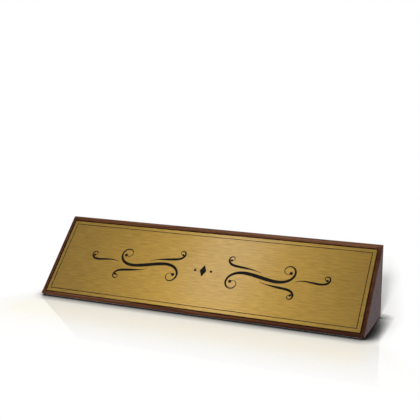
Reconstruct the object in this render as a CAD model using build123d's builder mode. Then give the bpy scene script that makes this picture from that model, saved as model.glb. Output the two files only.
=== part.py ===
from build123d import *
from math import atan2, cos, hypot, sin
import os

# Desk name plate. A solid hardwood wedge, eased on every arris, stands on a felt pad. A brushed brass
# plate lies in a shallow recess in the sloping face, on two strips of double-sided tape, with an even
# shadow gap all round it. A border line is engraved in the brass and filled with black enamel.
#
# Millimetres. +X runs along the plate, -Y faces the reader and +Z is up. The origin is on the surface
# that the felt rests on, under the middle of the block.

# Wedge block
block_length = 254.0
block_depth = 51.6
block_height = 52.0
top_flat = 1.8             # narrow flat along the ridge, front to back
toe_land = 1.6             # upright land along the front foot, which keeps the edge from chipping
edge_radius = 0.5          # rounding of the outer arrises above the base
base_edge_radius = 0.25    # the base's arrises are only just broken
land_share = 0.3           # a rounding takes at most this share of a narrow land

# Brass plate and its place on the sloping face, measured from the face's sharp edges
side_margin = 3.4
lower_margin = 2.05
upper_margin = 3.9
plate_thickness = 1.0
plate_edge_break = 0.15    # bevel round the plate's front
plate_sink = 0.1           # the plate's front lies this far below the wood

# Recess in the wood
shadow_gap = 0.75          # open gap between the plate's edge and the recess wall
recess_corner_radius = 0.6
recess_mouth_break = 0.15  # bevel round the recess's rim

# Engraved border line and its enamel
line_inset = 2.8           # from the plate's edge to the middle of the line
line_width = 0.55
line_depth = 0.2
enamel_sink = 0.03         # the enamel dries a little below the brass

# Double-sided tape behind the plate
tape_thickness = 0.3
tape_width = 19.0
tape_end_inset = 8.0       # from the plate's short edge to the strip's end

# Felt pad under the block
felt_thickness = 1.0
felt_inset = 1.5           # from the block's outline to the felt's edge
felt_corner_radius = 1.5

# The sloping face and what follows from it
face_rise = block_height - toe_land
face_run = block_depth - top_flat
face_length = hypot(face_rise, face_run)
face_angle = atan2(face_rise, face_run)
plate_width = block_length - 2 * side_margin
plate_height = face_length - lower_margin - upper_margin
recess_depth = tape_thickness + plate_thickness + plate_sink
widest_rounding = land_share * min(toe_land, top_flat)
arris_radius = min(edge_radius, widest_rounding)
base_arris_radius = min(base_edge_radius, arris_radius / 2)

# The block's section, seen from its end: front to back, then up
toe_y = -block_depth / 2
heel_y = block_depth / 2
base_z = felt_thickness
ridge_z = base_z + block_height
foot_of_face = (toe_y, base_z + toe_land)
top_of_face = (heel_y - top_flat, ridge_z)

# Planes parallel to the sloping face, centred on the plate: local X runs along the block and local Y
# runs up the slope
plate_rise = lower_margin + plate_height / 2
plate_centre = (
    0,
    foot_of_face[0] + plate_rise * cos(face_angle),
    foot_of_face[1] + plate_rise * sin(face_angle),
)
face_plane = Plane(
    origin=plate_centre,
    x_dir=(1, 0, 0),
    z_dir=(0, -sin(face_angle), cos(face_angle)),
)
recess_floor = face_plane.offset(-recess_depth)
plate_back = recess_floor.offset(tape_thickness)
plate_front = plate_back.offset(plate_thickness)
groove_floor = plate_front.offset(-line_depth)
same_plane = 1e-4          # two points this close to a plane's height lie in it


def lies_in(plane):
    """A test for the edges whose middle lies in the plane."""
    return lambda edge: abs(plane.to_local_coords(edge.center()).Z) < same_plane


os.makedirs("parts", exist_ok=True)

# Hardwood wedge: one section along the whole length, eased all round, then routed for the plate
with BuildPart() as wedge_block:
    with BuildSketch(Plane.YZ.offset(-block_length / 2)):
        with BuildLine():
            Polyline(
                (toe_y, base_z),
                (heel_y, base_z),
                (heel_y, ridge_z),
                top_of_face,
                foot_of_face,
                close=True,
            )
        make_face()
    extrude(amount=block_length)
    base_arrises = wedge_block.faces().sort_by(Axis.Z).first.edges()
    fillet(wedge_block.edges() - base_arrises, arris_radius)
    fillet(wedge_block.faces().sort_by(Axis.Z).first.edges(), base_arris_radius)
    with BuildSketch(face_plane):
        RectangleRounded(
            plate_width + 2 * shadow_gap,
            plate_height + 2 * shadow_gap,
            recess_corner_radius,
        )
    extrude(amount=-recess_depth, mode=Mode.SUBTRACT)
    recess_rim = wedge_block.edges(Select.LAST).filter_by(lies_in(face_plane))
    chamfer(recess_rim, recess_mouth_break)
wedge_block.part.label = "wedge_block"
export_step(wedge_block.part, "parts/wedge_block.step")

# The border line, drawn on the floor of its groove
with BuildSketch(groove_floor) as border_line:
    Rectangle(
        plate_width - 2 * line_inset + line_width,
        plate_height - 2 * line_inset + line_width,
    )
    Rectangle(
        plate_width - 2 * line_inset - line_width,
        plate_height - 2 * line_inset - line_width,
        mode=Mode.SUBTRACT,
    )

# Brass plate with its front edge broken and the border line engraved
with BuildPart() as name_plate:
    with BuildSketch(plate_back):
        Rectangle(plate_width, plate_height)
    extrude(amount=plate_thickness)
    chamfer(name_plate.edges().filter_by(lies_in(plate_front)), plate_edge_break)
    extrude(border_line.sketch, amount=line_depth, mode=Mode.SUBTRACT)
name_plate.part.label = "name_plate"
export_step(name_plate.part, "parts/name_plate.step")

# Black enamel that fills the engraved line
with BuildPart() as border_enamel:
    extrude(border_line.sketch, amount=line_depth - enamel_sink)
border_enamel.part.label = "border_enamel"
export_step(border_enamel.part, "parts/border_enamel.step")

# A strip of tape behind each half of the plate
for name, side in (("upper_tape_strip", 1), ("lower_tape_strip", -1)):
    with BuildPart() as tape_strip:
        with BuildSketch(recess_floor):
            with Locations((0, side * plate_height / 4)):
                Rectangle(plate_width - 2 * tape_end_inset, tape_width)
        extrude(amount=tape_thickness)
    tape_strip.part.label = name
    export_step(tape_strip.part, f"parts/{name}.step")

# Felt pad glued to the underside
with BuildPart() as base_felt:
    with BuildSketch(Plane.XY):
        RectangleRounded(
            block_length - 2 * felt_inset,
            block_depth - 2 * felt_inset,
            felt_corner_radius,
        )
    extrude(amount=felt_thickness)
base_felt.part.label = "base_felt"
export_step(base_felt.part, "parts/base_felt.step")
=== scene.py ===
import math
import bmesh
import bpy
from mathutils import Matrix, Vector
from mathutils import noise as solid_noise


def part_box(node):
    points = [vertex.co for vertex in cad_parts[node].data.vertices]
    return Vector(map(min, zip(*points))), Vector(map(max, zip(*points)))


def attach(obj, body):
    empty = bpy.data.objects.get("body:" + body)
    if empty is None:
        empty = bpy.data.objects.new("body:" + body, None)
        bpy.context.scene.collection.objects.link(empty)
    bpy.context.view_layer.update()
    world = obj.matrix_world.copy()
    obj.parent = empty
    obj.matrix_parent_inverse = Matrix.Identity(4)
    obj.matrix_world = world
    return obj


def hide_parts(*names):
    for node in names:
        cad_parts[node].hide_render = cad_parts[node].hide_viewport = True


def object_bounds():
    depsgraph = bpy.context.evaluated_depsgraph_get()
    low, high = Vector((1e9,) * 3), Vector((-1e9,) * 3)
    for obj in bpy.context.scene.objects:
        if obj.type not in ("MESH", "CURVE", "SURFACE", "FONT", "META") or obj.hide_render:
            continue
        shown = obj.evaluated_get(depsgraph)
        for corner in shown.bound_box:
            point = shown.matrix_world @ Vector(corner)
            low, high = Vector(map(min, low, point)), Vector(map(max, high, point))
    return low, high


# Looks, light and camera for the desk name plate. Metres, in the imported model's own frame: +X along the
# plate, -Y towards the reader, +Z up.

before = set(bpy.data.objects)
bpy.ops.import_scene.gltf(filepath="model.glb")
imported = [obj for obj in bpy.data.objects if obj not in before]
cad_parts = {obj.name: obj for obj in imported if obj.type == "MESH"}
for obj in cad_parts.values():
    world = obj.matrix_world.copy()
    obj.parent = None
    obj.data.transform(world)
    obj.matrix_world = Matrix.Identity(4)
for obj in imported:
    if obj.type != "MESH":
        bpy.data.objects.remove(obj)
cad_low, cad_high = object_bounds()
millimetre = 0.001
along_plate = Vector((1, 0, 0))

# Camera, at the photograph's viewing angle
camera_azimuth = math.radians(23.454)
camera_elevation = math.radians(11.131)
camera_distance = 0.56215
camera_target = Vector((0.01618, -0.0258, 0.07862))
camera_lens = 69.478
camera_sensor = 36.0

# Colours, linear
brass_colour = (0.36, 0.216, 0.037)
brass_glancing = (0.85, 0.62, 0.25)
wood_light = (0.114, 0.058, 0.032)
wood_mid = (0.061, 0.020, 0.006)
wood_dark = (0.018, 0.005, 0.002)
wood_worn = (0.150, 0.075, 0.040)
# The light end-grain colour: wood, with its mauve-grey partly painted sheen
wood_end_light_and_sheen = (0.128, 0.048, 0.058)
wood_end_dark = (0.016, 0.006, 0.003)
# Painted shade for the recess's walls and floor
painted_recess_shade = (0.008, 0.003, 0.001)
enamel_colour = (0.005, 0.004, 0.003)
felt_colour = (0.016, 0.016, 0.018)
tape_colour = (0.72, 0.71, 0.66)
floor_colour = (0.80, 0.79, 0.755)
# Painted warm reflection of the brass on the floor
painted_floor_reflection = (0.80, 0.75, 0.62)

# Sizes of the features in each texture: their length along X, then their width across it
sway_size = (110 * millimetre, 24 * millimetre)
vein_size = (250 * millimetre, 3 * millimetre)
patch_size = (70 * millimetre, 30 * millimetre)
fibre_size = (26 * millimetre, 0.67 * millimetre)
pore_size = (3.8 * millimetre, 0.38 * millimetre)
fleck_size = (9 * millimetre, 3.5 * millimetre)
hairline_size = (21 * millimetre, 0.26 * millimetre)
brush_size = (8.5 * millimetre, 1.0 * millimetre)
cloud_size = (70 * millimetre, 33 * millimetre)
peel_size = (0.55 * millimetre, 0.55 * millimetre)
paper_size = (1.1 * millimetre, 2.5 * millimetre)
tangle_size = (0.38 * millimetre, 0.38 * millimetre)
tuft_size = (2.4 * millimetre, 2.4 * millimetre)

# The range that most of a noise keeps within
noise_low = 0.3
noise_high = 0.7

# The wood's growth rings, about the heart of a tree below and in front of the block, and the share of a
# ring where its dark late wood begins
heart_y = -35 * millimetre
heart_z = -90 * millimetre
ring_spacing = 2.6 * millimetre
ring_sway = 12 * millimetre
late_wood_start = 0.25

# What each feature adds to the wood's tone, which is dark at 0 and light at 1
vein_tone = 0.6
fibre_tone = 0.42
patch_tone_low = -0.03
patch_tone_high = 0.13
ring_tone = -0.22
end_ring_tone = -0.16

# Painted sheen and shade on the wood, a slow change of tone: where it starts, as a share of the half length,
# the height where it turns from darker to paler, from 0 at the plate's middle to 1 at the top, and its
# strength
drift_start = -0.45
drift_level = 0.8
drift_tone = 0.25

# The open pores: where in their noise they begin and are full, how far they darken the wood, and how deep
# they are where the fibre's height is 1
pore_start = 0.60
pore_full = 0.70
pore_share = 0.6
pore_depth = 0.8

# The rubbed arrises: their width, the sum of nearness to the block's planes where the wear begins and is
# full, the same for the patches that it comes in, and its share. On one plane alone the sum is 1.
wear_width = 0.55 * millimetre
wear_start = 1.05
wear_full = 1.35
wear_patch_start = 0.35
wear_patch_full = 0.65
wear_share = 0.2

# How far from the ends the long faces darken and by what share, and how far a face turns to the end before
# end grain begins and is full
end_dark_depth = 6 * millimetre
end_dark_share = 0.75
end_start = 0.8
end_full = 0.98
end_grain_share = 0.9

# Painted shade in the recess: the depth that it darkens over, its reach beyond the plate's outline, and its
# depth
recess_lip = 0.25 * millimetre
recess_reach = 1 * millimetre
recess_depth = 2 * millimetre

# Shares of two noises: the clouds in the brass's shade, and the fine tangle in the felt's pile
cloud_share = 0.12
tangle_share = 0.65

# The felt: its outline's corner radius, its soft edge, its fuzz and the size of its mesh's cells, then the
# shares of the radius and of the thickness that tell its cut edge and its underside
felt_corner_radius = 1.5 * millimetre
felt_edge_round = 0.22 * millimetre
felt_edge_squareness = 4
felt_fuzz = 0.08 * millimetre
felt_fuzz_size = 4 * felt_fuzz
felt_cell = 1.25 * millimetre
felt_edge_rings = 5
on_cut_edge = 0.999
on_underside = 0.01

# The ornament on the plate, drawn in units of about a millimetre
ornament_share = 0.78
ornament_half_span = 96.5
ornament_height = 0.045 * millimetre
ornament_sink = 0.010 * millimetre
curl_growth = 2.7
swell = 1.6
hairline = 0.35
tip_width = hairline / 10
stroke_steps = 150
dome_steps = 8
bead_corners = 64
sharp_angle = math.radians(50)

# The studio's light, where 1 is white: at the horizon, from the ceiling, and the heights between the two
horizon_light = 0.14
ceiling_light = 0.32
ceiling_start = 0.45
ceiling_full = 0.75

# The share of it that comes from the right, and where it begins to fall and has fallen to that
right_share = 0.2
right_start = -0.2
right_full = 0.4

# Rays of a smaller depth carry a lamp's light straight to what the camera sees
direct_depth = 1.5

# The floor fades to plain white beside the object, behind its shadow and towards the front. The shadow leans
# to the left as it goes back, and the mirror image spreads as it comes forward.
floor_size = 8.0
shadow_depth = 100 * millimetre
shadow_lean = 0.2
shadow_margin = 4 * millimetre
mirror_spread = 0.6
white_aside = 14 * millimetre
white_ahead = 85 * millimetre

# The contact shadow: its reach, the lean that deepens it on the right, its strength at the foot, beside the
# heel and behind it, and the places between which one passes into the next
contact_reach = 11 * millimetre
contact_lean = Vector((-0.5, 0.25, 1.0)).normalized()
foot_power = 3.8
thin_power = 1.2
heel_power = 5.0
thinning_start = -5 * millimetre
thinning_end = 20 * millimetre
deepening_end = 30 * millimetre

# The painted warm reflection of the brass on the floor: how far in front of the foot it is strongest, and
# its reach
glow_middle = 32 * millimetre
glow_reach = 36 * millimetre


def plate_frame():
    """The plate's front: its middle, its up-slope direction, its normal and its length."""
    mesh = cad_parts["name_plate"].data
    front = [p for p in mesh.polygons if p.normal.z > 0 and p.normal.y < 0]
    normal = max(front, key=lambda p: p.area).normal.copy()
    low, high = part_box("name_plate")
    slope = normal.cross(along_plate)
    reach = max(v.co.dot(normal) for v in mesh.vertices)
    middle = (low + high) / 2
    middle += normal * (reach - middle.dot(normal))
    return middle, slope, normal, high.x - low.x


plate_middle, up_slope, plate_normal, plate_length = plate_frame()
ornament_unit = ornament_share * plate_length / (2 * ornament_half_span)


# Shader nodes


def new_material(name):
    """A material, its node tree and its Principled shader."""
    material = bpy.data.materials.new(name)
    material.use_nodes = True
    tree = material.node_tree
    return material, tree, tree.nodes["Principled BSDF"]


def set_socket(tree, socket, value):
    """Links another node's output to a socket, or sets a plain number, vector or colour."""
    if isinstance(value, bpy.types.NodeSocket):
        tree.links.new(value, socket)
    elif socket.type == "RGBA":
        socket.default_value = (*value, 1)
    else:
        socket.default_value = value


def add(tree, kind, inputs=None, **settings):
    """Adds a node; its inputs are given by name or number."""
    node = tree.nodes.new(kind)
    for name, value in settings.items():
        setattr(node, name, value)
    for key, value in (inputs or {}).items():
        set_socket(tree, node.inputs[key], value)
    return node


def finish_shader(tree, shader, **sockets):
    """Sets the shader's sockets; an underscore in a name stands for a space."""
    for name, value in sockets.items():
        set_socket(tree, shader.inputs[name.replace("_", " ")], value)


def maths(tree, operation, *values):
    """The result of one Math node."""
    return add(tree, "ShaderNodeMath", dict(enumerate(values)), operation=operation).outputs[0]


def hypotenuse(tree, first, second):
    """The long side of a right-angled triangle."""
    squares = maths(tree, "MULTIPLY", first, first)
    squares = maths(tree, "ADD", squares, maths(tree, "MULTIPLY", second, second))
    return maths(tree, "SQRT", squares)


def vector(tree, *parts):
    """A vector put together from its parts."""
    return add(tree, "ShaderNodeCombineXYZ", dict(enumerate(parts))).outputs[0]


def axes(tree, place):
    """A place's X, Y and Z."""
    return add(tree, "ShaderNodeSeparateXYZ", {0: place}).outputs


def dot(tree, place, direction):
    """How far a place lies along a direction."""
    inputs = {0: place, 1: tuple(direction)}
    return add(tree, "ShaderNodeVectorMath", inputs, operation="DOT_PRODUCT").outputs["Value"]


def grain(tree, place, size, detail=2.0, roughness=0.5, distortion=0.0):
    """Noise whose features have this length along X and this width across it."""
    along, across = size
    inputs = {0: place, 1: (1 / along, 1 / across, 1 / across)}
    stretched = add(tree, "ShaderNodeVectorMath", inputs, operation="MULTIPLY").outputs["Vector"]
    settings = {"Scale": 1.0, "Detail": detail, "Roughness": roughness, "Distortion": distortion}
    return add(tree, "ShaderNodeTexNoise", {"Vector": stretched, **settings}).outputs["Fac"]


def ramp(tree, value, stops):
    """A colour ramp; each stop is a place and a colour."""
    node = add(tree, "ShaderNodeValToRGB", {"Fac": value})
    elements = node.color_ramp.elements
    while len(elements) < len(stops):
        elements.new(0.5)
    for element, (place, colour) in zip(elements, stops):
        element.position = place
        element.color = (*colour, 1)
    return node.outputs["Color"]


def spread(tree, value, low, high, to_low, to_high):
    """A value carried from one range to another, held at its ends."""
    node = add(tree, "ShaderNodeMapRange", {0: value, 1: low, 2: high, 3: to_low, 4: to_high})
    return node.outputs[0]


def vary(tree, noise, to_low, to_high):
    """A noise carried from its usual range to another."""
    return spread(tree, noise, noise_low, noise_high, to_low, to_high)


def mix(tree, share, first, second):
    """Two colours mixed."""
    node = add(tree, "ShaderNodeMix", data_type="RGBA")
    colours = [socket for socket in node.inputs if socket.type == "RGBA"]
    set_socket(tree, node.inputs["Factor"], share)
    set_socket(tree, colours[0], first)
    set_socket(tree, colours[1], second)
    return next(socket for socket in node.outputs if socket.type == "RGBA")


def object_place(tree):
    """The place on the object, in metres."""
    return add(tree, "ShaderNodeTexCoord").outputs["Object"]


def bump(tree, height, strength, distance):
    """A normal tilted by a height, which is this many metres where it is 1."""
    node = add(tree, "ShaderNodeBump", {"Height": height, "Strength": strength, "Distance": distance})
    return node.outputs["Normal"]


def tinted(colour, factor):
    """A colour made lighter or darker."""
    return tuple(factor * c for c in colour)


# The wood


def ring_distance(tree, place):
    """The distance from the heart of the tree, swayed so that no ring is a plain circle."""
    _, y, z = axes(tree, place)
    across = maths(tree, "SUBTRACT", y, heart_y)
    height = maths(tree, "SUBTRACT", z, heart_z)
    sway = maths(tree, "MULTIPLY", grain(tree, place, sway_size, detail=3), ring_sway)
    return maths(tree, "ADD", hypotenuse(tree, across, height), sway)


def painted_sheen_drift(tree, place, along):
    """Painted sheen and shade: towards the right end the wood is painted paler above and darker below."""
    rightwards = spread(tree, along, drift_start * cad_high.x, cad_high.x, 0.0, 1.0)
    upwards = maths(tree, "SUBTRACT", dot(tree, place, up_slope), plate_middle.dot(up_slope))
    upwards = maths(tree, "DIVIDE", upwards, (cad_high - plate_middle).dot(up_slope))
    upwards = maths(tree, "SUBTRACT", upwards, drift_level)
    return maths(tree, "MULTIPLY", maths(tree, "MULTIPLY", rightwards, upwards), drift_tone)


def long_grain(tree, place, from_heart, late_wood, fibre, patches):
    """The colour along the block: veins, fibre, patches and rings, darker close to the
    ends."""
    along = axes(tree, place)["X"]
    veins = grain(tree, vector(tree, along, from_heart), vein_size, detail=3)
    tone = maths(tree, "ADD", vary(tree, veins, 0.0, vein_tone), maths(tree, "MULTIPLY", fibre, fibre_tone))
    tone = maths(tree, "ADD", tone, vary(tree, patches, patch_tone_low, patch_tone_high))
    tone = maths(tree, "ADD", tone, maths(tree, "MULTIPLY", late_wood, ring_tone))
    # Painted sheen above and painted shade below, towards the right end
    tone = maths(tree, "ADD", tone, painted_sheen_drift(tree, place, along))
    colour = ramp(tree, tone, ((0.0, wood_dark), (0.45, wood_mid), (1.0, wood_light)))
    from_end = maths(tree, "SUBTRACT", cad_high.x, maths(tree, "ABSOLUTE", along))
    return mix(tree, spread(tree, from_end, 0.0, end_dark_depth, end_dark_share, 0.0), colour, wood_dark)


def end_grain(tree, place, late_wood):
    """The colour of the sawn ends: upright flecks, with the growth rings across them; their light mauve-grey
    is partly painted lacquer sheen.
    """
    _, y, z = axes(tree, place)
    flecks = grain(tree, vector(tree, z, y), fleck_size, detail=3, roughness=0.6)
    tone = maths(tree, "ADD", flecks, maths(tree, "MULTIPLY", late_wood, end_ring_tone))
    return ramp(tree, tone, ((0.24, wood_end_dark), (0.60, wood_end_light_and_sheen)))


def end_share(tree):
    """From 0 on the long faces to nearly 1 on the ends."""
    normal = add(tree, "ShaderNodeNewGeometry").outputs["Normal"]
    facing = maths(tree, "ABSOLUTE", dot(tree, normal, along_plate))
    return spread(tree, facing, end_start, end_full, 0.0, end_grain_share)


def edge_share(tree, place):
    """From 0 on the block's flat faces to 1 on its arrises, where two of its planes are close."""
    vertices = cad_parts["wedge_block"].data.vertices
    planes = [plate_normal]
    for axis in ((1, 0, 0), (-1, 0, 0), (0, 1, 0), (0, 0, 1), (0, 0, -1)):
        planes.append(Vector(axis))
    nearness = 0.0
    for direction in planes:
        reach = max(v.co.dot(direction) for v in vertices)
        depth = maths(tree, "SUBTRACT", reach, dot(tree, place, direction))
        close = maths(tree, "EXPONENT", maths(tree, "DIVIDE", depth, -wear_width))
        nearness = maths(tree, "ADD", nearness, close)
    return spread(tree, nearness, wear_start, wear_full, 0.0, 1.0)


def recess_shade_share(tree, place):
    """1 on the recess's walls and floor, which lie behind the plate's front and close to its outline; shade
    is painted there.
    """
    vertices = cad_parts["name_plate"].data.vertices
    inside = 1.0
    for direction in (along_plate, up_slope):
        half_size = max((v.co - plate_middle).dot(direction) for v in vertices)
        offset = maths(tree, "SUBTRACT", dot(tree, place, direction), plate_middle.dot(direction))
        within = maths(tree, "LESS_THAN", maths(tree, "ABSOLUTE", offset), half_size + recess_reach)
        inside = maths(tree, "MULTIPLY", inside, within)
    depth = maths(tree, "SUBTRACT", plate_middle.dot(plate_normal), dot(tree, place, plate_normal))
    inside = maths(tree, "MULTIPLY", inside, maths(tree, "LESS_THAN", depth, recess_depth))
    return maths(tree, "MULTIPLY", inside, spread(tree, depth, 0.0, recess_lip, 0.0, 1.0))


def make_wood():
    """Dark red-brown hardwood under satin lacquer: rings, veins, fine fibre and open pores drawn out along
    the block, end grain on its ends with partly painted sheen, painted sheen and shade towards the right
    end, arrises rubbed lighter, and painted shade in the recess."""
    material, tree, shader = new_material("hardwood")
    place = object_place(tree)
    from_heart = ring_distance(tree, place)
    rings = maths(tree, "FRACT", maths(tree, "DIVIDE", from_heart, ring_spacing))
    late_wood = spread(tree, rings, late_wood_start, 1.0, 0.0, 1.0)
    patches = grain(tree, place, patch_size)
    fibre = grain(tree, place, fibre_size, detail=3, roughness=0.6)
    pores = spread(tree, grain(tree, place, pore_size, detail=1), pore_start, pore_full, 0.0, 1.0)

    colour = long_grain(tree, place, from_heart, late_wood, fibre, patches)
    colour = mix(tree, end_share(tree), colour, end_grain(tree, place, late_wood))
    colour = mix(tree, maths(tree, "MULTIPLY", pores, pore_share), colour, wood_dark)
    worn = spread(tree, patches, wear_patch_start, wear_patch_full, 0.0, wear_share)
    colour = mix(tree, maths(tree, "MULTIPLY", edge_share(tree, place), worn), colour, wood_worn)
    # Painted shade in the recess around the plate
    colour = mix(tree, recess_shade_share(tree, place), colour, painted_recess_shade)
    height = maths(tree, "SUBTRACT", fibre, maths(tree, "MULTIPLY", pores, pore_depth))
    finish_shader(
        tree,
        shader,
        Base_Color=colour,
        Roughness=vary(tree, fibre, 0.42, 0.55),
        Normal=bump(tree, height, strength=0.25, distance=0.05 * millimetre),
        Specular_IOR_Level=0.0,
        Coat_Weight=0.8,
        Coat_Roughness=0.35,
        Coat_IOR=1.2,
    )
    return material


# The other materials


def make_brass():
    """Brass brushed along its length under thin clear lacquer."""
    material, tree, shader = new_material("brass")
    place = object_place(tree)
    flat = vector(tree, axes(tree, place)["X"], dot(tree, place, up_slope))
    hairlines = grain(tree, flat, hairline_size, detail=3, roughness=0.65)
    strokes = grain(tree, flat, brush_size)
    clouds = grain(tree, flat, cloud_size)
    brushed = maths(tree, "MULTIPLY", maths(tree, "ADD", hairlines, strokes), 0.5)
    shade = maths(tree, "ADD", brushed, maths(tree, "MULTIPLY", clouds, cloud_share))
    stops = ((0.26, tinted(brass_colour, 0.58)), (0.86, tinted(brass_colour, 1.42)))
    finish_shader(
        tree,
        shader,
        Base_Color=ramp(tree, shade, stops),
        Metallic=1.0,
        Specular_Tint=brass_glancing,
        Roughness=vary(tree, hairlines, 0.36, 0.44),
        Normal=bump(tree, hairlines, strength=0.10, distance=0.02 * millimetre),
        Tangent=vector(tree, *up_slope),
        Anisotropic=0.75,
        Coat_Weight=1.0,
        Coat_Roughness=0.16,
        Coat_IOR=1.45,
    )
    return material


def make_enamel():
    """Black enamel with a faint orange-peel surface."""
    material, tree, shader = new_material("enamel")
    peel = grain(tree, object_place(tree), peel_size)
    finish_shader(
        tree,
        shader,
        Base_Color=ramp(tree, peel, ((0.3, enamel_colour), (0.75, tinted(enamel_colour, 1.8)))),
        Roughness=vary(tree, peel, 0.32, 0.46),
        Normal=bump(tree, peel, strength=0.08, distance=0.02 * millimetre),
        Specular_IOR_Level=0.03,
    )
    return material


def make_tape():
    """White double-sided tape with a faint fibre in its paper."""
    material, tree, shader = new_material("tape")
    fibre = grain(tree, object_place(tree), paper_size, detail=4)
    finish_shader(
        tree,
        shader,
        Base_Color=ramp(tree, fibre, ((0.3, tinted(tape_colour, 0.86)), (0.7, tape_colour))),
        Roughness=vary(tree, fibre, 0.55, 0.75),
        Normal=bump(tree, fibre, strength=0.2, distance=0.03 * millimetre),
    )
    return material


def make_felt():
    """Black pressed felt: tangled fibres in two sizes, soft at a glancing angle."""
    material, tree, shader = new_material("felt")
    place = object_place(tree)
    tangle = grain(tree, place, tangle_size, detail=5, roughness=0.7, distortion=2.5)
    tufts = grain(tree, place, tuft_size, detail=3)
    pile = maths(tree, "MULTIPLY", tangle, tangle_share)
    pile = maths(tree, "ADD", pile, maths(tree, "MULTIPLY", tufts, 1 - tangle_share))
    finish_shader(
        tree,
        shader,
        Base_Color=ramp(tree, pile, ((0.35, felt_colour), (0.7, tinted(felt_colour, 2.6)))),
        Roughness=0.95,
        Normal=bump(tree, pile, strength=0.7, distance=0.2 * millimetre),
        Sheen_Weight=0.35,
        Sheen_Roughness=0.6,
        Specular_IOR_Level=0.1,
    )
    return material


# Pieces


def dress(node, material):
    """Gives a CAD node its finish."""
    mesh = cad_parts[node].data
    mesh.materials.clear()
    mesh.materials.append(material)


def new_piece(name, shape, material):
    """A shape made into a piece that rides on the part's one body."""
    bmesh.ops.recalc_face_normals(shape, faces=list(shape.faces))
    mesh = bpy.data.meshes.new(name)
    shape.to_mesh(mesh)
    shape.free()
    mesh.shade_smooth()
    mesh.set_sharp_from_angle(angle=sharp_angle)
    mesh.materials.append(material)
    piece = bpy.data.objects.new(name, mesh)
    bpy.context.scene.collection.objects.link(piece)
    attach(piece, "root")
    return piece


# The felt


def nearest_inside(place, limit):
    """The nearest point of a rectangle about the origin, given by its half sizes."""
    return Vector((max(-limit.x, min(place.x, limit.x)), max(-limit.y, min(place.y, limit.y))))


def felt_place(place, spine):
    """A point of the felt's rectangle carried inside its rounded corners."""
    inside = nearest_inside(place, spine)
    beyond = place - inside
    if beyond.x != 0 and beyond.y != 0:
        beyond *= max(abs(beyond.x), abs(beyond.y)) / beyond.length
    return inside + beyond


def soften_felt(vertex, spine, thickness):
    """Rounds the cut edge and roughens the edge and the underside with fuzz."""
    fuzz = felt_fuzz * abs(solid_noise.noise(vertex.co / felt_fuzz_size))
    outward = vertex.co.xy - nearest_inside(vertex.co, spine)
    if outward.length > on_cut_edge * felt_corner_radius:
        height = 2 * vertex.co.z / thickness - 1
        inset = felt_edge_round * height ** felt_edge_squareness + fuzz
        vertex.co.xy -= outward.normalized() * inset
    if vertex.co.z < on_underside * thickness:
        vertex.co.z += fuzz


def make_felt_pad(material):
    """The felt as one closed sheet with a soft cut edge and a fuzzy underside."""
    low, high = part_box("base_felt")
    thickness = high.z - low.z
    half = (high.xy - low.xy) / 2
    spine = half - Vector((felt_corner_radius, felt_corner_radius))
    shape = bmesh.new()
    columns = round(2 * half.x / felt_cell)
    rows = round(2 * half.y / felt_cell)
    bmesh.ops.create_grid(shape, x_segments=columns, y_segments=rows, size=1.0)
    for vertex in shape.verts:
        vertex.co.xy = felt_place(vertex.co.xy * half, spine)
    raised = bmesh.ops.extrude_face_region(shape, geom=list(shape.faces))
    for element in raised["geom"]:
        if isinstance(element, bmesh.types.BMVert):
            element.co.z = thickness
    upright = [e for e in shape.edges if abs(e.verts[0].co.z - e.verts[1].co.z) > thickness / 2]
    bmesh.ops.subdivide_edges(shape, edges=upright, cuts=felt_edge_rings, use_grid_fill=True)
    for vertex in shape.verts:
        soften_felt(vertex, spine, thickness)
    pad = new_piece("felt_pad", shape, material)
    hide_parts("base_felt")


# The ornament: strokes and beads of enamel, drawn by places along and up the plate's front


def dome_profile():
    """The section of a stroke: shares of its half width and heights above the plate, from edge to edge."""
    angles = [math.pi * i / dome_steps for i in range(dome_steps + 1)]
    return [(-math.cos(a), ornament_height * math.sqrt(abs(math.sin(a)))) for a in angles]


def plate_point(shape, u, v, proud):
    """A vertex at a place on the plate's front, this far above it."""
    place = plate_middle + along_plate * (u * ornament_unit) + up_slope * (v * ornament_unit)
    return shape.verts.new(place + plate_normal * proud)


def skin(shape, rings):
    """Faces between rings of vertices, with the first and last ring closed."""
    for ring, following in zip(rings, rings[1:]):
        for i, corner in enumerate(ring):
            shape.faces.new((ring[i - 1], corner, following[i], following[i - 1]))
    shape.faces.new(rings[0])
    shape.faces.new(rings[-1])


def half_line(middle, heading, way, length, turn, ball):
    """Half of a stroke, outwards from its middle: each place, its heading and how far along it lies."""
    u, v = middle
    step = (length + 2 * ball) / stroke_steps
    places = []
    for i in range(stroke_steps + 1):
        angle = math.radians(heading + turn * min(i * step / length, 1.0) ** curl_growth)
        places.append((u, v, angle, way * i * step))
        u += way * step * math.cos(angle)
        v += way * step * math.sin(angle)
    return places


def with_ball(width, radius, left):
    """A stroke's width where a ball of this radius ends it, at a distance left to its end."""
    if left >= 2 * radius:
        return width
    chord = 2 * math.sqrt(max(radius ** 2 - (left - radius) ** 2, 0.0))
    if left < radius:
        return max(chord, tip_width)
    return max(chord, width)


def add_stroke(shape, middle, heading, start, end, thick):
    """A pen stroke and its mirror image. It is laid out from its middle both ways; each end is a length,
    the degrees that it turns, ever more tightly, and the radius of the ball that it ends in."""
    line = half_line(middle, heading, -1, *start)[:0:-1] + half_line(middle, heading, 1, *end)
    before = start[0] + 2 * start[2]
    whole = before + end[0] + 2 * end[2]
    profile = dome_profile() + [(1.0, -ornament_sink), (-1.0, -ornament_sink)]
    for side in (1, -1):
        rings = []
        for u, v, angle, distance in line:
            done = before + distance
            width = hairline + (thick - hairline) * abs(math.sin(math.pi * done / whole)) ** swell
            width = with_ball(width, start[2], done)
            width = with_ball(width, end[2], whole - done)
            ring = []
            for share, proud in profile:
                across = share * width / 2
                edge_u = side * (u - across * math.sin(angle))
                edge_v = v + across * math.cos(angle)
                ring.append(plate_point(shape, edge_u, edge_v, proud))
            rings.append(ring)
        skin(shape, rings)


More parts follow.
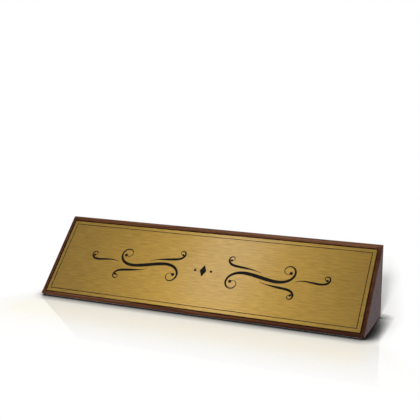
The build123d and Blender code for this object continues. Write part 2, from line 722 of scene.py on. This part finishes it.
def add_bead(shape, middle, half_width, half_height, power):
    """A small dome: round with a power of 1, a lozenge with a power of 2."""
    profile = [(-1.0, -ornament_sink)] + dome_profile()[:dome_steps // 2]
    rings = []
    for share, proud in profile:
        ring = []
        for i in range(bead_corners):
            turn = 2 * math.pi * i / bead_corners
            u = math.copysign(abs(math.cos(turn)) ** power, math.cos(turn))
            v = math.copysign(abs(math.sin(turn)) ** power, math.sin(turn))
            ring.append(plate_point(shape, middle + share * half_width * u, share * half_height * v, proud))
        rings.append(ring)
    skin(shape, rings)


def make_ornament(material):
    """A mirrored scroll ornament in black enamel along the middle of the plate."""
    shape = bmesh.new()
    add_stroke(shape, middle=(45, 0), heading=-12, start=(49, 405, 1.3), end=(49, 405, 1.3), thick=2.9)
    add_stroke(shape, middle=(28, 6.6), heading=-6, start=(21, -350, 1.0), end=(17, -16, 0), thick=2.0)
    add_stroke(shape, middle=(62, -6.6), heading=-6, start=(17, -16, 0), end=(21, -350, 1.0), thick=2.0)
    add_stroke(shape, middle=(85, 0.3), heading=-6, start=(14, 35, 0), end=(21, 350, 1.0), thick=1.8)
    add_bead(shape, middle=0, half_width=2.7, half_height=5.0, power=2)
    for side in (1, -1):
        add_bead(shape, middle=side * 6.4, half_width=1.0, half_height=1.0, power=1)
    new_piece("plate_ornament", shape, material)


# Floor, light and camera


def away_from_shadow(tree, sideways, backwards):
    """From 0 under the object, in the shadow behind it and close in front of it, to 1 where the floor is
    plain white."""
    behind = maths(tree, "MAXIMUM", maths(tree, "SUBTRACT", backwards, cad_high.y), 0.0)
    before = maths(tree, "MAXIMUM", maths(tree, "SUBTRACT", cad_low.y, backwards), 0.0)
    aside = maths(tree, "ADD", sideways, maths(tree, "MULTIPLY", behind, shadow_lean))
    aside = maths(tree, "SUBTRACT", maths(tree, "ABSOLUTE", aside), cad_high.x + shadow_margin)
    aside = maths(tree, "SUBTRACT", aside, maths(tree, "MULTIPLY", before, mirror_spread))
    aside = maths(tree, "DIVIDE", maths(tree, "MAXIMUM", aside, 0.0), white_aside)
    ahead = maths(tree, "SUBTRACT", before, contact_reach)
    ahead = maths(tree, "MAXIMUM", ahead, maths(tree, "SUBTRACT", behind, shadow_depth))
    ahead = maths(tree, "DIVIDE", maths(tree, "MAXIMUM", ahead, 0.0), white_ahead)
    return spread(tree, hypotenuse(tree, aside, ahead), 0.0, 1.0, 0.0, 1.0)


def contact_share(tree, backwards):
    """How dark the floor is where it lies close to the object."""
    inputs = {"Distance": contact_reach, "Normal": vector(tree, *contact_lean)}
    openness = add(tree, "ShaderNodeAmbientOcclusion", inputs).outputs["AO"]
    foot = spread(tree, backwards, thinning_start, thinning_end, foot_power, thin_power)
    heel = spread(tree, backwards, thinning_end, deepening_end, thin_power, heel_power)
    openness = maths(tree, "POWER", openness, maths(tree, "MAXIMUM", foot, heel))
    return maths(tree, "SUBTRACT", 1.0, openness)


def painted_plate_reflection(tree, sideways, backwards):
    """The share of painted warm reflection of the brass on the floor in front of it."""
    before = maths(tree, "SUBTRACT", cad_low.y, backwards)
    away = maths(tree, "ABSOLUTE", maths(tree, "SUBTRACT", before, glow_middle))
    ahead = spread(tree, away, 0.0, glow_reach, 1.0, 0.0)
    aside = maths(tree, "SUBTRACT", maths(tree, "ABSOLUTE", sideways), cad_high.x)
    return maths(tree, "MULTIPLY", ahead, spread(tree, aside, 0.0, white_aside, 1.0, 0.0))


def make_floor():
    """A wide polished white floor, with a painted warm reflection in front of the plate and a painted
    contact shadow where the object touches it, which fades to plain white away from the object."""
    bpy.ops.mesh.primitive_plane_add(size=floor_size)
    floor = bpy.context.object
    floor.name = "floor"
    material, tree, shader = new_material("floor")
    sideways, backwards, _ = axes(tree, object_place(tree))
    colour = mix(tree, painted_plate_reflection(tree, sideways, backwards), floor_colour, painted_floor_reflection)
    finish_shader(tree, shader, Base_Color=colour, Roughness=0.05, IOR=1.45)
    seen = add(tree, "ShaderNodeLightPath").outputs["Is Camera Ray"]
    whiteness = away_from_shadow(tree, sideways, backwards)
    darkness = contact_share(tree, backwards)
    surface = shader.outputs[0]
    for amount, level in ((whiteness, 1.0), (darkness, 0.0)):
        plain = add(tree, "ShaderNodeEmission", {"Strength": level}).outputs[0]
        share = maths(tree, "MULTIPLY", amount, seen)
        surface = add(tree, "ShaderNodeMixShader", {0: share, 1: surface, 2: plain}).outputs[0]
    tree.links.new(surface, tree.nodes["Material Output"].inputs["Surface"])
    floor.data.materials.append(material)


def make_world():
    """A white studio to the camera and in reflections, whose light comes more from the left and above."""
    world = bpy.data.worlds.new("studio")
    bpy.context.scene.world = world
    world.use_nodes = True
    tree = world.node_tree
    rightwards, _, upwards = axes(tree, add(tree, "ShaderNodeTexCoord").outputs["Generated"])
    path = add(tree, "ShaderNodeLightPath").outputs
    shown = maths(tree, "MAXIMUM", path["Is Camera Ray"], path["Is Glossy Ray"])
    side = spread(tree, rightwards, right_start, right_full, 1.0, right_share)
    horizon = spread(tree, shown, 0.0, 1.0, maths(tree, "MULTIPLY", side, horizon_light), 1.0)
    ceiling = maths(tree, "MULTIPLY", side, ceiling_light)
    level = spread(tree, upwards, ceiling_start, ceiling_full, horizon, ceiling)
    strength = maths(tree, "MAXIMUM", level, path["Is Camera Ray"])
    background = tree.nodes["Background"]
    set_socket(tree, background.inputs["Color"], (1, 1, 1))
    set_socket(tree, background.inputs["Strength"], strength)


def make_light(name, direction, distance, width, length, radiance, roll=0.0, colour=(1, 1, 1)):
    """A soft box that faces the plate from a direction. Its length lies front to back, then it is rolled
    about that direction, in degrees."""
    data = bpy.data.lights.new(name, "AREA")
    data.shape = "RECTANGLE"
    data.size = width
    data.size_y = length
    data.energy = radiance * math.pi * width * length
    data.color = colour
    light = bpy.data.objects.new(name, data)
    bpy.context.scene.collection.objects.link(light)
    towards = Vector(direction).normalized()
    sideways = Vector((0, 1, 0)).cross(towards).normalized()
    sideways.rotate(Matrix.Rotation(math.radians(roll), 3, towards))
    turn = Matrix((sideways, towards.cross(sideways), towards)).transposed()
    light.location = plate_middle + towards * distance
    light.rotation_euler = turn.to_euler()
    return light


def light_directly(light):
    """Keeps a light to what it reaches itself, so that the floor doesn't repeat its glare on the plate."""
    light.data.use_nodes = True
    tree = light.data.node_tree
    depth = add(tree, "ShaderNodeLightPath").outputs["Ray Depth"]
    direct = maths(tree, "LESS_THAN", depth, direct_depth)
    set_socket(tree, tree.nodes["Emission"].inputs["Strength"], direct)


def make_lights():
    """Two panels and a cool core that make the bright band on the plate, a small light in front that throws
    the shadow, and a weak fill on the back."""
    rear = make_light(
        "rear_panel",
        direction=(-0.235, 0.35, 0.85),
        distance=1.1,
        width=0.30,
        length=0.6,
        radiance=6.9,
        roll=-25,
    )
    light_directly(rear)
    make_light(
        "front_panel",
        direction=(-0.40, -0.68, 0.63),
        distance=1.1,
        width=0.28,
        length=0.6,
        radiance=4.15,
        roll=-25,
    )
    make_light(
        "core",
        direction=(-0.313, -0.19, 0.90),
        distance=1.08,
        width=0.12,
        length=0.4,
        radiance=1.9,
        roll=-27,
        colour=(0.8, 1.0, 1.45),
    )
    front = make_light(
        "front_light",
        direction=(0.195, -0.89, 0.405),
        distance=1.2,
        width=0.15,
        length=0.15,
        radiance=285.0,
    )
    front.visible_glossy = False
    fill = make_light(
        "back_fill",
        direction=(0, 0.99, 0.14),
        distance=1.2,
        width=1.6,
        length=0.4,
        radiance=2.5,
    )
    fill.visible_glossy = False
    fill.visible_camera = False


def make_camera():
    """A camera that looks at its target from the photograph's side and height."""
    data = bpy.data.cameras.new("camera")
    data.lens = camera_lens
    data.sensor_width = camera_sensor
    camera = bpy.data.objects.new("camera", data)
    bpy.context.scene.collection.objects.link(camera)
    back = Vector((
        math.sin(camera_azimuth) * math.cos(camera_elevation),
        -math.cos(camera_azimuth) * math.cos(camera_elevation),
        math.sin(camera_elevation),
    ))
    camera.location = camera_target + back * camera_distance
    camera.rotation_euler = (-back).to_track_quat("-Z", "Y").to_euler()
    bpy.context.scene.camera = camera


enamel = make_enamel()
tape = make_tape()
dress("wedge_block", make_wood())
dress("name_plate", make_brass())
dress("border_enamel", enamel)
dress("upper_tape_strip", tape)
dress("lower_tape_strip", tape)
make_felt_pad(make_felt())
make_ornament(enamel)

make_floor()
make_world()
make_lights()
make_camera()
bpy.context.scene.view_settings.view_transform = "Standard"
